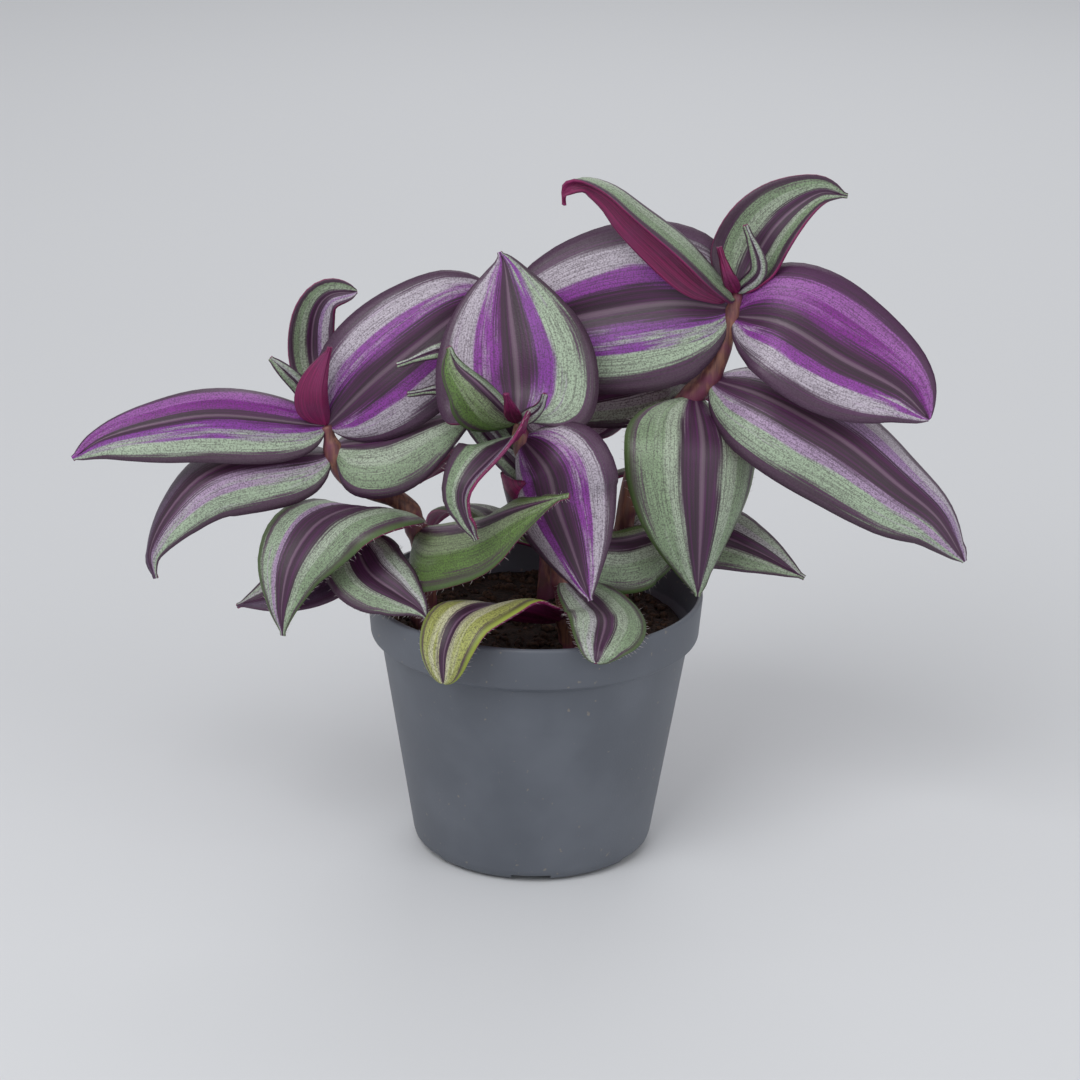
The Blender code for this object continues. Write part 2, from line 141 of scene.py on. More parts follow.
# %% Leaves of the left stems
LEFT_LEAVES = {
    "leaf_left_1": leaf("left", 79.3,
        [(-55, -6, 81.5), (-66, -8, 80.5), (-75, -9, 78), (-80.5, -10, 74.5)],
        half=8.5, face=(0, -0.8, 0.6), right=(10, -50), widest=0.42, right_scale=0.72),
    "leaf_left_2": leaf("left", 74,
        [(-49, -6, 74), (-58, -9, 71.5), (-64, -12, 65.5), (-67, -14, 59), (-66, -15, 54.5)],
        half=9.5, face=(0.1, -0.8, 0.6), tip_face=(-0.3, -0.9, 0.1), right=(-40, -80)),
    "leaf_left_3": leaf("left", TIP,
        [(-38.5, 3.5, 84), (-40, 6.5, 89), (-39.5, 6.5, 96), (-37, 6, 100), (-32, 5.5, 101)],
        half=4.3, face=(0.2, -0.9, 0.2), left=(0, 20), right=(20, 50), base=0.5, widest=0.52, lobe=0),
    "leaf_left_4": leaf("left", TIP,
        [(-37.6, -7, 86.5), (-36, -7, 94.5)],
        half=4.5, face=(0, 1, 0), left=(60, 70), right=(5, -5), base=0.5, lobe=0, left_scale=0.3),
    "leaf_left_5": leaf("left", TIP,
        [(-40.6, -3, 85), (-43.5, -3.5, 88.5), (-46.5, -4, 91.5)],
        half=1.5, face=(-0.3, -0.9, 0.3), base=0.3, widest=0.5, lobe=0),
    "leaf_left_6": leaf("left", 79,
        [(-28.5, -5, 88), (-20.5, -3.5, 94.5), (-14, -1, 99), (-7, 2, 101.5)],
        half=11.5, face=(0, -0.93, 0.36), left=(10, -25), right=(5, -25), widest=0.5),
    "leaf_left_7": leaf("left", 75,
        [(-27.5, -4, 77), (-18.5, -4.5, 80.5), (-10, -4, 82.5)],
        half=10.5, face=(0, -0.8, 0.6), left=(-40, -70)),
    "leaf_left_8": leaf("left", 63.5,
        [(-30.5, -12, 67), (-37.5, -16, 65.5), (-42, -20, 60), (-43.5, -22.5, 53), (-43.3, -23.5, 47.5)],
        half=10, face=(0.1, 0.5, 0.9), tip_face=(-0.3, -0.95, 0.1), left=(10, -35), right=(0, -20)),
    "leaf_left_9": leaf("left_low", 58.5,
        [(-38, -11, 54.5), (-45, -13, 51.5), (-52, -15, 49.5)],
        half=6, face=(0, -0.6, 0.8)),
    "leaf_left_10": leaf("left_low", 60,
        [(-29, -15.5, 56.5), (-24, -19, 54), (-20.5, -21.5, 52.5), (-18.5, -23.5, 51)],
        half=6.8, face=(0.1, -0.8, 0.6)),
    "leaf_left_11": leaf("left", 60.5,
        [(-15.5, -13, 64), (-10, -21.5, 68), (-4, -27.5, 72.5), (2.5, -32, 76), (5.5, -33.5, 77.3)],
        half=12, face=(0, -0.7, 0.7), left=(-30, -50), right=(0, -35),
        widest=0.3, lobe=0.1, left_scale=0.8),
}
print("leaves of the left stems:", len(LEFT_LEAVES))

# %% Leaves of the centre stem
CENTRE_LEAVES = {
    "leaf_centre_1": leaf("centre", TIP,
        [(-3.5, -11, 88), (-4, -9, 94), (-5, -6, 101), (-6, -3, 108), (-7, -2, 110.5)],
        half=13.8, face=(0, -0.93, 0.36), left=(15, -8), lobe=0.8),
    "leaf_centre_2": leaf("centre", TIP,
        [(-9.5, -19, 91.5), (-13.5, -19.5, 95.3), (-15.2, -19.5, 98.6)],
        half=7.5, face=(0, -0.93, 0.36), left=(0, -40), right=(-50, -80),
        base=0.5, lobe=0, right_scale=0.3),
    "leaf_centre_3": leaf("centre", TIP,
        [(-4.6, -19, 87.5), (-5.4, -21, 91)],
        half=1.2, face=(0, 1, 0), base=0.3, lobe=0),
    "leaf_centre_4": leaf("centre", TIP,
        [(0, -17.5, 87.3), (1.2, -18.5, 90.3)],
        half=1.1, face=(0, -1, 0), base=0.3, lobe=0),
    "leaf_centre_5": leaf("centre", 81.5,
        [(-7, -25, 81.5), (-11, -29, 78.5), (-12.3, -30, 75.5), (-11.5, -31, 72), (-10, -31.5, 68.5)],
        half=7, face=(-0.2, -0.6, 0.7), tip_face=(-0.2, -0.95, 0.2), left=(50, 80), right=(0, -35)),
    "leaf_centre_6": leaf("centre", 81,
        [(1.8, -19.7, 77), (3.5, -18.8, 70.5), (6, -20.5, 64), (9.5, -24, 55)],
        half=11.2, face=(0, -0.9, 0.4), right=(-15, -75), lobe=0),
    "leaf_centre_7": leaf("centre", 79,
        [(-9, -5.5, 87), (-15, -8, 94.5), (-24.3, -10.5, 92.5)],
        half=2.4, face=(0, -0.9, 0.4)),
    "leaf_centre_8": leaf("centre", 72,
        [(-9, -6, 79), (-15, -8, 87), (-22.5, -10.5, 87.3)],
        half=2, face=(0, -0.9, 0.4)),
}
print("leaves of the centre stem:", len(CENTRE_LEAVES))

# %% Leaves of the right stem
RIGHT_LEAVES = {
    "leaf_right_1": leaf("right", 100,
        [(22.5, 1, 101), (7.5, 2, 98), (-3.3, 2, 94.5), (-10, 2, 91.7)],
        half=15, face=(0, -0.93, 0.36), widest=0.42, lobe=0.5),
    "leaf_right_2": leaf("right", 102,
        [(31, -0.5, 106.5), (25, -2, 113.5), (17.7, -2, 119), (12.5, -1, 122.3),
         (7.5, 0, 123.3), (4.3, 0, 121), (4, 0, 118.5)],
        half=7.5, face=(0.6, 0.3, 0.7), left=(-30, -40), right=(-70, -80), lobe=0, left_scale=0.9),
    "leaf_right_3": leaf("right", TIP,
        [(37, 3, 108), (40, 3, 113.5), (44, 3.5, 117.7), (48.5, 4, 120.3), (53, 5, 119.6)],
        half=8, face=(-0.2, -0.9, 0.2), left=(0, 30), right=(10, 60), base=0.6, right_scale=0.7),
    "leaf_right_4": leaf("right", TIP,
        [(37.6, -2.4, 108.5), (35, -3.4, 116.3)],
        half=1.4, face=(0, -1, 0), base=0.3, lobe=0),
    "leaf_right_5": leaf("right", TIP,
        [(32.3, -4, 107.5), (30.6, -4, 112.5)],
        half=1.1, face=(0, 1, 0), base=0.3, lobe=0),
    "leaf_right_6": leaf("right", 99,
        [(42, -5, 99.3), (52, -7.5, 94), (62, -9, 89), (67.5, -10, 84)],
        half=12.5, face=(0, -0.9, 0.45), right=(15, -15), widest=0.45, right_scale=0.86),
    "leaf_right_7": leaf("right", 88,
        [(40, -7, 86.3), (52.5, -9.5, 80), (62.5, -11.5, 72.5), (69.5, -13, 67), (74.5, -14, 59.5)],
        half=12, face=(0, -0.93, 0.36), left=(-30, -70), widest=0.42),
    "leaf_right_8": leaf("right", 84.5,
        [(28.5, -9, 79.5), (28.5, -12, 73), (28.5, -13, 64), (28.5, -10.5, 51)],
        half=13.3, face=(0, -0.7, 0.7), tip_face=(0, -1, 0), left=(-20, -65), right=(15, -15)),
    "leaf_right_9": leaf("right", 86,
        [(24, 8.5, 86), (16, 9.5, 83.5), (8, 9.5, 81), (0.5, 9, 76.5)],
        half=7.6, face=(0, -0.93, 0.36), widest=0.45, lobe=0),
}
print("leaves of the right stem:", len(RIGHT_LEAVES))

# %% Low leaves by the rim
LOW_LEAVES = {
    "leaf_low_1": leaf("centre", 54,
        [(10.5, -18, 51.5), (12, -24, 51), (11, -30.5, 49), (10.5, -32.3, 46.8)],
        half=7.5, face=(0.2, -0.3, 0.95), widest=0.52, lobe=0, right_scale=0.85),
    "leaf_low_2": leaf("centre", 62,
        [(14, -7.5, 60), (20, -4, 60), (26, -3.5, 60.5)],
        half=9.5, face=(0, -0.7, 0.7), left=(-30, -50), right=(-10, -45),
        base=0.3, widest=0.55, lobe=0, left_scale=0.5),
    "leaf_low_3": leaf("right", 57,
        [(30, 4, 57.5), (39, 2.5, 55), (48, 0, 50.7)],
        half=7, face=(0, -0.7, 0.7)),
    "leaf_low_4": leaf("centre", 46.5,
        [(-2, -18.5, 51), (-7, -24, 53.7), (-12.5, -29, 53.3), (-15, -32, 49), (-15.3, -33, 43)],
        half=9.5, face=(-0.2, 0.4, 0.9), tip_face=(-0.6, -0.8, 0.3),
        widest=0.55, lobe=0, left_scale=0.8, right_scale=0.85),
}
print("low leaves by the rim:", len(LOW_LEAVES))

# %% Leaves of the back stem
BACK_LEAVES = {
    "leaf_back_1": leaf("back", 78,
        [(-4, 30, 84), (-13, 36, 83), (-21, 40, 76)],
        half=10, face=(-0.1, 0.3, 0.95), tip_face=(-0.5, 0.6, 0.6)),
    "leaf_back_2": leaf("back", 75,
        [(14, 28, 80), (24, 33, 79), (34, 37, 71)],
        half=10.5, face=(0.1, 0.3, 0.95), tip_face=(0.5, 0.6, 0.6)),
    "leaf_back_3": leaf("back", 69,
        [(6, 31, 71), (5, 40, 70), (3, 48, 63), (2, 53, 55)],
        half=11, face=(0, 0.2, 1), tip_face=(0, 0.9, 0.5)),
    "leaf_back_4": leaf("back", 63,
        [(-5, 24, 64), (-14, 28, 64), (-22, 31, 57)],
        half=9, face=(-0.1, 0.3, 0.95), tip_face=(-0.5, 0.6, 0.6)),
    "leaf_back_5": leaf("back", 60,
        [(13, 21, 62), (22, 24, 62), (31, 27, 54)],
        half=8.5, face=(0.1, 0.3, 0.95), tip_face=(0.5, 0.6, 0.6)),
    "leaf_back_6": leaf("back", 54,
        [(5, 25, 56), (7, 34, 56), (9, 41, 51), (9, 45, 44)],
        half=8.5, face=(0, 0.2, 1), tip_face=(0, 0.9, 0.5)),
    "leaf_back_7": leaf("back", TIP,
        [(7, 27, 84), (9, 30, 90), (12, 32, 95)],
        half=4.5, face=(0, -0.9, 0.3), base=0.7),
    "leaf_back_8": leaf("back", 50,
        [(-5, 18, 52), (-11, 24, 54), (-17, 29.5, 52), (-21, 33, 46)],
        half=6.5, face=(0, 0.3, 0.95), tip_face=(-0.5, 0.6, 0.6)),
}
print("leaves of the back stem:", len(BACK_LEAVES))

# %% All the leaves together
LEAVES = {}
for group in (LEFT_LEAVES, CENTRE_LEAVES, RIGHT_LEAVES, LOW_LEAVES, BACK_LEAVES):
    LEAVES.update(group)
print("leaves:", len(LEAVES))

# %% [markdown]
# A blade is a flat grid whose rows follow the midrib and whose columns run from the left edge
# over the midrib to the right edge. Each half may be folded up or down, and the outline is round
# at the base and drawn out at the tip. Forty blades could be drawn one by one, but a few
# functions and a short list of numbers for each leaf are easier to read and to change.

# %% A smooth path through a few points
def smooth_path(points, steps=400):
    """Even steps along a smooth curve through the points."""
    points = [Vector(p) for p in points]
    first = points[0] * 2 - points[1]
    last = points[-1] * 2 - points[-2]
    ends = [first] + points + [last]
    dense = []
    for i in range(len(points) - 1):
        a, b, c, d = ends[i:i + 4]
        for k in range(16):
            t = k / 16
            bend = (a * 2 - b * 5 + c * 4 - d) * t * t + (b * 3 - a - c * 3 + d) * t ** 3
            dense.append((b * 2 + (c - a) * t + bend) / 2)
    dense.append(points[-1])
    lengths = [0.0]
    for p, q in zip(dense, dense[1:]):
        lengths.append(lengths[-1] + (q - p).length)
    path = []
    k = 0
    for i in range(steps + 1):
        goal = lengths[-1] * i / steps
        while k < len(dense) - 2 and lengths[k + 1] < goal:
            k += 1
        share = (goal - lengths[k]) / (lengths[k + 1] - lengths[k])
        path.append(dense[k].lerp(dense[k + 1], min(share, 1.0)))
    return path


print("points on a stem's path:", len(smooth_path(STEMS["left"])))


# %% The direction of a path and the width of a stem
def direction(path, i):
    """Unit direction of a path at one of its steps."""
    return (path[min(i + 1, len(path) - 1)] - path[max(i - 1, 0)]).normalized()


def stem_radius(share):
    """Stems keep their width, then narrow over the last part to the tip."""
    if share < 0.85:
        return STEM_RADIUS
    return STEM_RADIUS - (STEM_RADIUS - STEM_TIP_RADIUS) * (share - 0.85) / 0.15


print("stem radius at the tip:", round(stem_radius(1.0), 2), "mm")


# %% The midrib of a leaf
def leaf_rib(spec):
    """The midrib from inside the stem to the leaf's tip."""
    path = smooth_path(STEMS[spec["stem"]], 200)
    if spec["height"] is TIP:
        start = path[-1]
        out = (Vector(spec["rib"][0]) - start).normalized()
        return smooth_path([start + out * TIP_CLASP] + spec["rib"])
    i = min(range(201), key=lambda n: abs(path[n].z - spec["height"]))
    along = direction(path, i)
    out = Vector(spec["rib"][0]) - path[i]
    out = (out - along * out.dot(along)).normalized()
    reach = stem_radius(i / 200) * STEM_CLASP
    return smooth_path([path[i] + out * reach] + spec["rib"])


print("one midrib starts at", leaf_rib(LEAVES["leaf_left_1"])[0][:])


# %% The outline and the rows of a blade
def leaf_width(spec, t):
    """Half width at a share t of the length: round at the base, drawn out at the tip."""
    rise = 0.6
    fall = rise * (1 - spec["widest"]) / spec["widest"]
    peak = spec["widest"] ** rise * (1 - spec["widest"]) ** fall
    return spec["base"] * (1 - t) ** 2 + spec["half"] * t ** rise * (1 - t) ** fall / peak


def leaf_rows(spec, steps, half_steps):
    """Rows of points from base to tip, each from the left edge over the midrib to the right."""
    path = leaf_rib(spec)
    rows = []
    for i in range(steps + 1):
        t = (1 - math.cos(math.pi * i / steps)) / 2
        at = round(t * 400)
        along = direction(path, at)
        face = Vector(spec["face"]).lerp(Vector(spec["tip_face"]), t)
        up = (face - along * face.dot(along)).normalized()
        side = up.cross(along)
        row = {0: path[at]}
        for sign, fold, scale in zip((1, -1), spec["folds"], spec["scales"]):
            width = max(leaf_width(spec, t) * scale, LEAST_WIDTH)
            open_out = min(width / FLAT_BELOW, 1.0)
            point = path[at].copy()
            for k in range(1, half_steps + 1):
                turn = fold[0] + (fold[1] - fold[0]) * (k - 0.5) / half_steps
                angle = math.radians(turn) * open_out
                point += (side * sign * math.cos(angle) + up * math.sin(angle)) * width / half_steps
                out = width * k / half_steps
                back = spec["lobe"] * out * out / spec["half"] * (1 - t) ** 3
                row[-sign * k] = point - along * back
        rows.append([row[k] for k in range(-half_steps, half_steps + 1)])
    return rows


print("rows of a coarse blade:", len(leaf_rows(LEAVES["leaf_left_1"], 8, 2)))

# %% [markdown]
# Every finish is procedural. Colours are written as they look on screen and turned into the
# linear values that shaders use. A few small helpers keep the node trees short to read.

# %% Helpers for finishes
def paint(code):
    """A colour such as 8a3f96 as a linear colour with alpha."""
    parts = [int(code[i:i + 2], 16) / 255 for i in (0, 2, 4)]
    return tuple(((c + 0.055) / 1.055) ** 2.4 if c > 0.04 else c / 12.92 for c in parts) + (1.0,)


class Finish:
    """A new material and short ways to add nodes to it."""

    def __init__(self, name):
        self.material = bpy.data.materials.new(name)
        self.material.use_nodes = True
        self.tree = self.material.node_tree
        self.shader = self.tree.nodes["Principled BSDF"]

    def put(self, socket, value):
        """Set a socket to a value, or join it to another node's output."""
        if isinstance(value, bpy.types.NodeSocket):
            self.tree.links.new(value, socket)
        else:
            socket.default_value = value

    def math(self, operation, a, b=0.0):
        """One sum on one or two values."""
        node = self.tree.nodes.new("ShaderNodeMath")
        node.operation = operation
        self.put(node.inputs[0], a)
        self.put(node.inputs[1], b)
        return node.outputs[0]

    def mix(self, share, a, b):
        """Colour a where the share is 0, colour b where it is 1."""
        node = self.tree.nodes.new("ShaderNodeMix")
        node.data_type = "RGBA"
        self.put(node.inputs[0], share)
        self.put(node.inputs[6], a)
        self.put(node.inputs[7], b)
        return node.outputs[2]

    def ramp(self, value, stops):
        """A grey ramp through (place, level) stops."""
        node = self.tree.nodes.new("ShaderNodeValToRGB")
        node.color_ramp.interpolation = "EASE"
        points = node.color_ramp.elements
        while len(points) < len(stops):
            points.new(0.5)
        for point, (place, shade) in zip(points, stops):
            point.position = place
            point.color = (shade, shade, shade, 1.0)
        self.put(node.inputs[0], value)
        return node.outputs[0]

    def scaled(self, vector, scale):
        """Coordinates stretched by three factors, which squeezes or draws out a pattern."""
        node = self.tree.nodes.new("ShaderNodeMapping")
        node.inputs["Scale"].default_value = scale
        self.put(node.inputs[0], vector)
        return node.outputs[0]

    def noise(self, vector, scale, detail=2.0):
        """Cloudy noise from 0 to 1, about 0.5 on average."""
        node = self.tree.nodes.new("ShaderNodeTexNoise")
        node.inputs["Scale"].default_value = scale
        node.inputs["Detail"].default_value = detail
        self.put(node.inputs["Vector"], vector)
        return node.outputs[0]

    def bump(self, height, distance, strength=0.5):
        """Fine relief, with its height in metres."""
        node = self.tree.nodes.new("ShaderNodeBump")
        node.inputs["Strength"].default_value = strength
        node.inputs["Distance"].default_value = distance
        self.put(node.inputs["Height"], height)
        self.put(self.shader.inputs["Normal"], node.outputs[0])

    def coordinates(self, kind="Object"):
        """Object coordinates, or the piece's own UV map."""
        return self.tree.nodes.new("ShaderNodeTexCoord").outputs[kind]


print("mid grey is", round(paint("808080")[0], 3), "in linear light")

# %% [markdown]
# A zebra leaf has a dark band over its midrib, a bright glittering band on each half and a narrow
# dark margin. On many leaves the bright band goes from violet or lilac by the middle to silver or
# sage further out, and on the others it keeps to one family of colour. The piece's own UV map
# gives the place on the blade: U runs across and V from base to tip. So one recipe makes every
# leaf, and only the colours of its two halves change. A painted picture for each leaf would do it
# too, but it would need files and would blur close up.

# %% Colours of the bands
BANDS = {
    "violet": ("7d2088", "9c5aa8"),
    "violet_silver": ("8c3a9c", "b9b0bd"),
    "violet_sage": ("84389a", "a6b8a0"),
    "lilac": ("a07fae", "b9b2bd"),
    "lilac_sage": ("a890b0", "a0b39a"),
    "silver": ("b4b4b6", "a9b8a4"),
    "sage": ("a3b29c", "869c7c"),
    "green": ("8ea07a", "61803f"),
    "cream": ("c9c9a4", "a6ac5e"),
    "dark": ("5a4460", "44304a"),
}
MARGINS = {"plum": "3f1d3b", "green": "4c6136", "olive": "8c9a3a"}
CENTRE = "33222f"
CENTRE_VIOLET = "4c1f4a"
print("bands:", list(BANDS))


# %% The striped upper side
def striped_finish(name, left, right, margin, centre_width, margin_start):
    """Dark middle, bright band and dark margin on each half, broken up by streaks and painted glitter."""
    finish = Finish(name)
    uv = finish.coordinates("UV")
    parts = finish.tree.nodes.new("ShaderNodeSeparateXYZ")
    finish.put(parts.inputs[0], uv)
    wobble = finish.noise(finish.scaled(uv, (3.0, 2.2, 1.0)), 1.6)
    patch = finish.noise(finish.scaled(uv, (9.0, 2.6, 1.0)), 1.2, 3.0)
    streak = finish.noise(finish.scaled(uv, (60.0, 2.2, 1.0)), 1.0, 3.0)
    fine = finish.noise(finish.scaled(uv, (150.0, 5.0, 1.0)), 1.0, 2.0)
    # glitter noise: painted glint in the band's colour, and also varied roughness and bump
    glitter = finish.noise(finish.coordinates(), 3600.0, 2.0)
    from_rib = finish.math("SUBTRACT", parts.outputs[0], 0.5)
    across = finish.math("MULTIPLY", finish.math("ABSOLUTE", from_rib), 2.0)
    shifted = finish.math("ADD", across, finish.math("MULTIPLY", finish.math("SUBTRACT", wobble, 0.5), 0.3))
    shifted = finish.math("ADD", shifted, finish.math("MULTIPLY", finish.math("SUBTRACT", streak, 0.5), 0.34))
    band = finish.ramp(shifted, [(0.0, 0.0), (centre_width - 0.04, 0.0), (centre_width + 0.08, 1.0),
                                 (margin_start - 0.08, 1.0), (margin_start + 0.04, 0.06)])
    mottled = finish.math("ADD", shifted, finish.math("MULTIPLY", finish.math("SUBTRACT", patch, 0.5), 1.3))
    outer = finish.ramp(mottled, [(0.0, 0.0), (centre_width + 0.1, 0.0), (margin_start - 0.2, 1.0)])
    side = finish.math("GREATER_THAN", parts.outputs[0], 0.5)
    left_color = finish.mix(outer, paint(BANDS[left][0]), paint(BANDS[left][1]))
    right_color = finish.mix(outer, paint(BANDS[right][0]), paint(BANDS[right][1]))
    bright = finish.mix(side, left_color, right_color)
    # painted glint: fine noise lightens and darkens the bright band's colour where the leaf would glitter in
    # the light
    painted_glint = finish.ramp(glitter, [(0.36, 0.42), (0.5, 0.8), (0.62, 1.0)])
    lines = finish.ramp(fine, [(0.34, 0.5), (0.55, 1.0)])
    shade = finish.math("MULTIPLY", finish.math("MULTIPLY", painted_glint, lines), 1.08)
    bright = finish.mix(shade, paint(CENTRE), bright)
    dark = finish.mix(finish.ramp(streak, [(0.4, 0.0), (0.65, 1.0)]), paint(CENTRE), paint(CENTRE_VIOLET))
    edge = finish.ramp(across, [(margin_start, 0.0), (0.97, 1.0)])
    dark = finish.mix(edge, dark, paint(MARGINS[margin]))
    rib = finish.ramp(across, [(0.0, 0.45), (0.025, 0.3), (0.05, 0.0)])
    dark = finish.mix(rib, dark, paint("8a7484"))
    finish.put(finish.shader.inputs["Base Color"], finish.mix(band, dark, bright))
    rough = finish.math("ADD", finish.math("MULTIPLY", glitter, -0.25), 0.58)
    finish.put(finish.shader.inputs["Roughness"], rough)
    height = finish.math("ADD", finish.math("MULTIPLY", fine, 0.5), finish.math("MULTIPLY", glitter, 0.6))
    finish.bump(height, 0.00012, 0.5)
    finish.shader.inputs["Specular IOR Level"].default_value = 0.45
    return finish.material


print("bands to choose from:", len(BANDS))

# %% [markdown]
# The underside has no zebra bands. It is a deep magenta with fine lengthwise veins, a little
# duller than the top. It shows wherever a young leaf rolls in or a half folds over.

# %% The magenta underside
def underside_finish():
    """Deep magenta with fine veins along the blade."""
    finish = Finish("leaf_underside")
    uv = finish.coordinates("UV")
    vein = finish.noise(finish.scaled(uv, (70.0, 2.0, 1.0)), 1.0, 3.0)
    cloud = finish.noise(finish.coordinates(), 260.0, 2.0)
    color = finish.mix(finish.ramp(vein, [(0.35, 0.0), (0.65, 1.0)]), paint("5c1040"), paint("8a1a58"))
    color = finish.mix(finish.ramp(cloud, [(0.4, 0.0), (0.75, 0.5)]), color, paint("6e2a58"))
    finish.put(finish.shader.inputs["Base Color"], color)
    finish.shader.inputs["Roughness"].default_value = 0.48
    finish.bump(vein, 0.00015, 0.5)
    return finish.material


UNDERSIDE = underside_finish()
print("underside:", UNDERSIDE.name)

# %% [markdown]
# Which leaf looks how: the band of its left half, of its right half, its margin, and how wide the
# dark middle and where the margin starts, as shares of a half. Left and right are the leaf's own,
# seen from above with the tip pointing away.

# %% The look of each leaf
LOOKS = {
    "leaf_left_1": ("violet_sage", "violet", "plum", 0.14, 0.8),
    "leaf_left_2": ("lilac_sage", "dark", "plum", 0.24, 0.82),
    "leaf_left_3": ("sage", "lilac", "plum", 0.26, 0.78),
    "leaf_left_4": ("violet", "violet", "plum", 0.2, 0.85),
    "leaf_left_5": ("sage", "silver", "plum", 0.2, 0.85),
    "leaf_left_6": ("violet_silver", "violet_silver", "plum", 0.26, 0.8),
    "leaf_left_7": ("lilac_sage", "sage", "plum", 0.16, 0.84),
    "leaf_left_8": ("sage", "lilac_sage", "green", 0.32, 0.82),
    "leaf_left_9": ("dark", "silver", "plum", 0.3, 0.8),
    "leaf_left_10": ("silver", "sage", "plum", 0.36, 0.82),
    "leaf_left_11": ("green", "green", "green", 0.12, 0.86),
    "leaf_centre_1": ("violet_silver", "violet_sage", "plum", 0.22, 0.83),
    "leaf_centre_2": ("green", "sage", "green", 0.15, 0.86),
    "leaf_centre_3": ("violet", "violet", "plum", 0.2, 0.85),
    "leaf_centre_4": ("silver", "silver", "plum", 0.2, 0.85),
    "leaf_centre_5": ("lilac_sage", "sage", "plum", 0.3, 0.76),
    "leaf_centre_6": ("violet_silver", "violet_silver", "plum", 0.26, 0.78),
    "leaf_centre_7": ("sage", "silver", "plum", 0.3, 0.85),
    "leaf_centre_8": ("sage", "silver", "plum", 0.3, 0.85),
    "leaf_right_1": ("violet_sage", "violet_silver", "plum", 0.22, 0.76),
    "leaf_right_2": ("sage", "silver", "plum", 0.14, 0.82),
    "leaf_right_3": ("sage", "sage", "plum", 0.26, 0.76),
    "leaf_right_4": ("sage", "silver", "plum", 0.25, 0.85),
    "leaf_right_5": ("violet", "violet", "plum", 0.2, 0.85),
    "leaf_right_6": ("violet", "violet_silver", "plum", 0.24, 0.76),
    "leaf_right_7": ("lilac", "lilac_sage", "plum", 0.28, 0.8),
    "leaf_right_8": ("sage", "sage", "green", 0.28, 0.86),
    "leaf_right_9": ("silver", "lilac", "plum", 0.3, 0.78),
    "leaf_low_1": ("sage", "silver", "green", 0.26, 0.84),
    "leaf_low_2": ("green", "sage", "green", 0.2, 0.86),
    "leaf_low_3": ("silver", "sage", "plum", 0.3, 0.84),
    "leaf_low_4": ("cream", "cream", "olive", 0.2, 0.8),
    "leaf_back_1": ("violet_silver", "silver", "plum", 0.24, 0.86),
    "leaf_back_2": ("silver", "violet", "plum", 0.24, 0.86),
    "leaf_back_3": ("violet_silver", "lilac", "plum", 0.24, 0.86),
    "leaf_back_4": ("silver", "sage", "plum", 0.26, 0.86),
    "leaf_back_5": ("sage", "silver", "plum", 0.26, 0.86),
    "leaf_back_6": ("sage", "green", "green", 0.2, 0.86),
    "leaf_back_7": ("silver", "violet_silver", "plum", 0.25, 0.86),
    "leaf_back_8": ("green", "sage", "green", 0.22, 0.86),
}
FINISHES = {}
for look in sorted(set(LOOKS.values())):
    title = "leaf_{}_{}_{}_{:.0f}_{:.0f}".format(*look[:3], look[3] * 100, look[4] * 100)
    FINISHES[look] = striped_finish(title, *look)
print("leaf finishes:", len(FINISHES))

# %% [markdown]
# The blades: a grid of 20 columns by 36 rows is bent into place. The edge is waved a little and
# the blade is gently creased along its veins, because no living leaf is perfectly smooth. The UV
# map comes from the grid before it is bent. Solidify gives the thickness, with the underside's
# finish on its second shell. Subdividing a coarse blade would round off its narrow tip, so the
# grid is fine from the start.

# %% Pieces go from millimetres into the frame
def add_piece(name, bm, finishes, node_names=()):
    """Turn a bmesh in millimetres into a piece that rides on the part."""
    bmesh.ops.scale(bm, vec=(MM, MM, MM), verts=bm.verts)
    mesh = bpy.data.meshes.new(name)
    bm.to_mesh(mesh)
    bm.free()
    for made in finishes:
        mesh.materials.append(made)
    mesh.polygons.foreach_set("use_smooth", [True] * len(mesh.polygons))
    piece = bpy.data.objects.new(name, mesh)
    bpy.context.scene.collection.objects.link(piece)
    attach(piece, "root")
    if node_names:
        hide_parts(*node_names)
    return piece


print("one millimetre is", MM, "in the frame")

# %% Blades
BLADE_ROWS = 36
BLADE_HALF = 10            # columns on each side of the midrib
WAVE_HEIGHT = 0.55         # of the edge, in millimetres
VEIN_HEIGHT = 0.035
GROOVE_DEPTH = 0.12        # over the midrib


def wave(name, row, column):
    """How far the blade swings out of its plane there, in millimetres."""
    t = row / BLADE_ROWS
    out = abs(column - BLADE_HALF) / BLADE_HALF
    seed = sum(ord(letter) for letter in name) * 0.37
    side = 5.0 if column > BLADE_HALF else 0.0
    ripple = noise.noise(Vector((seed + side, t * 3.2, out * 0.7)))
    middle = math.sin(math.pi * t)
    vein = math.cos(out * math.pi * 9) * VEIN_HEIGHT
    groove = -GROOVE_DEPTH * max(0.0, 1 - out * 6)
    return ripple * WAVE_HEIGHT * out * middle + vein * middle + groove


